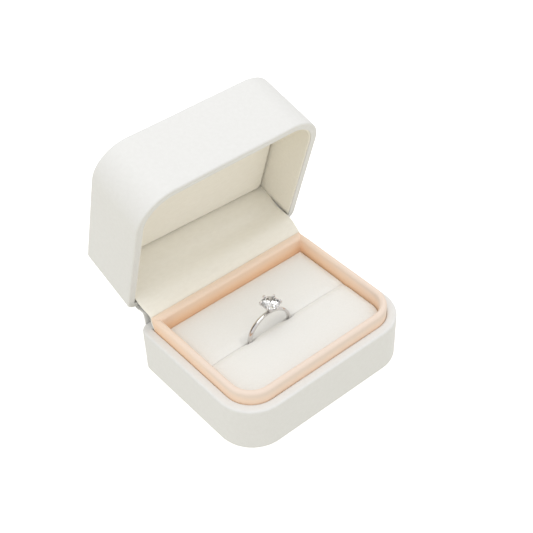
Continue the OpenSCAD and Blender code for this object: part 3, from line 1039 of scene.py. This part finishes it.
def head():
    """A six-claw basket: a collet on the band, claws that bend over the girdle, and a rail between them."""
    _, _, (depth, girdle, rise) = brilliant(STONE_D / 2)
    r = STONE_D / 2
    foot_z = RING_OUT - 0.35
    edge_z = STONE_FOOT + depth + girdle / 2
    parts = []
    for k in range(6):
        turn = math.pi / 2 + k * math.pi / 3
        out = np.array([math.cos(turn), math.sin(turn), 0])
        side = np.array([-math.sin(turn), math.cos(turn), 0])
        path = [
            (0.55, foot_z), (0.95, foot_z + 0.55), (r * 0.72 + 0.3, edge_z - 0.9), (r + 0.24, edge_z - 0.1),
            (r + 0.24, edge_z + 0.34), (r - 0.15, edge_z + 0.68), (r - 0.62, edge_z + 0.76),
        ]
        line = spline(path, 22)
        centres = [out * a + np.array([0, 0, z]) for a, z in line]
        stem, tip = [0.36] * 8 + [0.34] * 6, [0.36, 0.39, 0.41, 0.42, 0.41, 0.37, 0.29, 0.14]
        parts.append(tube(centres, stem + tip, side, sides=14))
    turns = np.linspace(0, 2 * math.pi, 49)[:-1]
    for radius, z, thick in ((1.0, RING_OUT + 0.18, 0.3), (1.72, STONE_FOOT + 1.05, 0.2)):
        rings = []
        for a in turns:
            out = np.array([math.cos(a), math.sin(a), 0])
            b = np.linspace(0, 2 * math.pi, 12, endpoint=False)[:, None]
            centre = out * radius + np.array([0, 0, z])
            rings.append(centre + thick * (np.cos(b) * out + np.sin(b) * np.array([0, 0, 1.0])))
        parts.append(loft(rings, closed=True))
    verts, faces = joined(parts)
    piece = make("ring_claws", in_ring(verts), faces, GOLD)
    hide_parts("ring_head")
    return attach(piece, "ring")


# ---------------------------------------------------------------- build
def finish_cad():
    """Materials for the CAD nodes that show."""
    looks = {
        "base_shell": MOULDED, "tray_board": BOARD, "lid_pad_board": BOARD,
        "hinge_leaf_base": NICKEL, "hinge_leaf_lid": NICKEL,
        "hinge_rivets_base": WIRE, "hinge_rivets_lid": WIRE, "hinge_pin": WIRE,
    }
    for node, look in looks.items():
        data = frame["nodes"][node].data
        data.materials.clear()
        data.materials.append(look)


finish_cad()
base_case()
bottom_sheet()
lid_case()
lid_lining()
lid_ceiling()
collar()
tray_pad("front_pad", -1, "front_pad_cover", "front_pad_foam")
tray_pad("back_pad", 1, "back_pad_cover", "back_pad_foam")
hinge_flap()
hinge_strip()
shank()
head()
stone()


# ---------------------------------------------------------------- studio
def floor():
    size = 4.0
    verts = np.array([(-size, -size, 0), (size, -size, 0), (size, size, 0), (-size, size, 0)]) / MM
    mesh = bpy.data.meshes.new("floor")
    mesh.from_pydata([tuple(v * MM) for v in verts], [], [(0, 1, 2, 3)])
    made, tree, bsdf = shader("pale_floor", 0.9, [("Specular IOR Level", 0.0)])
    tint(tree, bsdf, add_noise(tree, 0.01), (0.90, 0.90, 0.895), (0.91, 0.91, 0.905))
    bsdf.inputs["Emission Color"].default_value = (1, 1, 0.99, 1)
    bsdf.inputs["Emission Strength"].default_value = 0.45
    mesh.materials.append(made)
    piece = bpy.data.objects.new("floor", mesh)
    bpy.context.scene.collection.objects.link(piece)
    piece.visible_diffuse = False


def soft_box(name, place, aim, size, watts, colour):
    light = bpy.data.lights.new(name, "AREA")
    light.shape = "DISK"
    light.size = size
    light.energy = watts
    light.color = colour
    holder = bpy.data.objects.new(name, light)
    bpy.context.scene.collection.objects.link(holder)
    holder.location = place
    holder.rotation_mode = "QUATERNION"
    holder.rotation_quaternion = (Vector(aim) - Vector(place)).to_track_quat("-Z", "Y")


def sky(world):
    """Even white light, a little warmer from below, as from the paper that the box stands on."""
    tree = world.node_tree
    where = tree.nodes.new("ShaderNodeTexCoord")
    split = tree.nodes.new("ShaderNodeSeparateXYZ")
    ramp = tree.nodes.new("ShaderNodeValToRGB")
    ramp.color_ramp.elements[0].position = 0.3
    ramp.color_ramp.elements[0].color = (1.0, 0.968, 0.82, 1)
    ramp.color_ramp.elements[1].position = 0.6
    ramp.color_ramp.elements[1].color = (1.0, 1.0, 1.0, 1)
    raised = tree.nodes.new("ShaderNodeMapRange")
    raised.inputs["From Min"].default_value = -1.0
    tree.links.new(where.outputs["Generated"], split.inputs["Vector"])
    tree.links.new(split.outputs["Z"], raised.inputs["Value"])
    tree.links.new(raised.outputs["Result"], ramp.inputs["Fac"])
    tree.links.new(ramp.outputs["Color"], tree.nodes["Background"].inputs["Color"])
    tree.nodes["Background"].inputs["Strength"].default_value = 0.93


def dark_card(name, place, aim, width, height):
    """A black flag that only metal and stone mirror."""
    mesh = bpy.data.meshes.new(name)
    x, y = width / 2, height / 2
    mesh.from_pydata([(-x, -y, 0), (x, -y, 0), (x, y, 0), (-x, y, 0)], [], [(0, 1, 2, 3)])
    made, tree, bsdf = shader(name, 0.9, [("Specular IOR Level", 0.0)])
    tint(tree, bsdf, add_noise(tree, 0.02), (0.012, 0.011, 0.012), (0.02, 0.018, 0.018))
    mesh.materials.append(made)
    card = bpy.data.objects.new(name, mesh)
    bpy.context.scene.collection.objects.link(card)
    card.location = place
    card.rotation_mode = "QUATERNION"
    card.rotation_quaternion = (Vector(aim) - Vector(place)).to_track_quat("-Z", "Y")
    card.visible_camera = False
    card.visible_diffuse = False
    card.visible_shadow = False
    card.visible_transmission = False


def studio():
    scene = bpy.context.scene
    scene.view_settings.view_transform = "Standard"
    scene.world = bpy.data.worlds.new("studio")
    scene.world.use_nodes = True
    sky(scene.world)
    middle = (0, 0.01, 0.03)
    soft_box("key", (-0.36, -0.12, 0.84), middle, 0.5, 1.2, (1.0, 0.995, 0.985))
    soft_box("top", (0.05, 0.05, 0.95), middle, 0.6, 1.1, (1.0, 1.0, 1.0))
    dark_card("card_back_left", (-0.38, 0.27, 0.22), middle, 0.34, 0.5)
    dark_card("card_right", (0.5, -0.2, 0.3), middle, 0.12, 0.3)


def camera():
    """The photograph's view: from the front left, 42 degrees above the horizon."""
    azimuth, elevation, roll = math.radians(-39.38), math.radians(42.30), math.radians(-1.73)
    distance = 0.35878
    back = Vector((
        math.sin(azimuth) * math.cos(elevation),
        -math.cos(azimuth) * math.cos(elevation),
        math.sin(elevation),
    ))
    right = (-back).cross(Vector((0, 0, 1))).normalized()
    up = right.cross(-back)
    right, up = (
        right * math.cos(roll) + up * math.sin(roll),
        up * math.cos(roll) - right * math.sin(roll),
    )
    target = Vector((0, 0, 0.024)) - right * 0.002965 + up * 0.01288
    data = bpy.data.cameras.new("camera")
    data.sensor_width = 36
    data.lens = 74.29
    data.clip_start = 0.01
    holder = bpy.data.objects.new("camera", data)
    bpy.context.scene.collection.objects.link(holder)
    turn = Matrix((right, up, back)).transposed().to_4x4()
    holder.matrix_world = Matrix.Translation(target + back * distance) @ turn
    bpy.context.scene.camera = holder


floor()
studio()
camera()
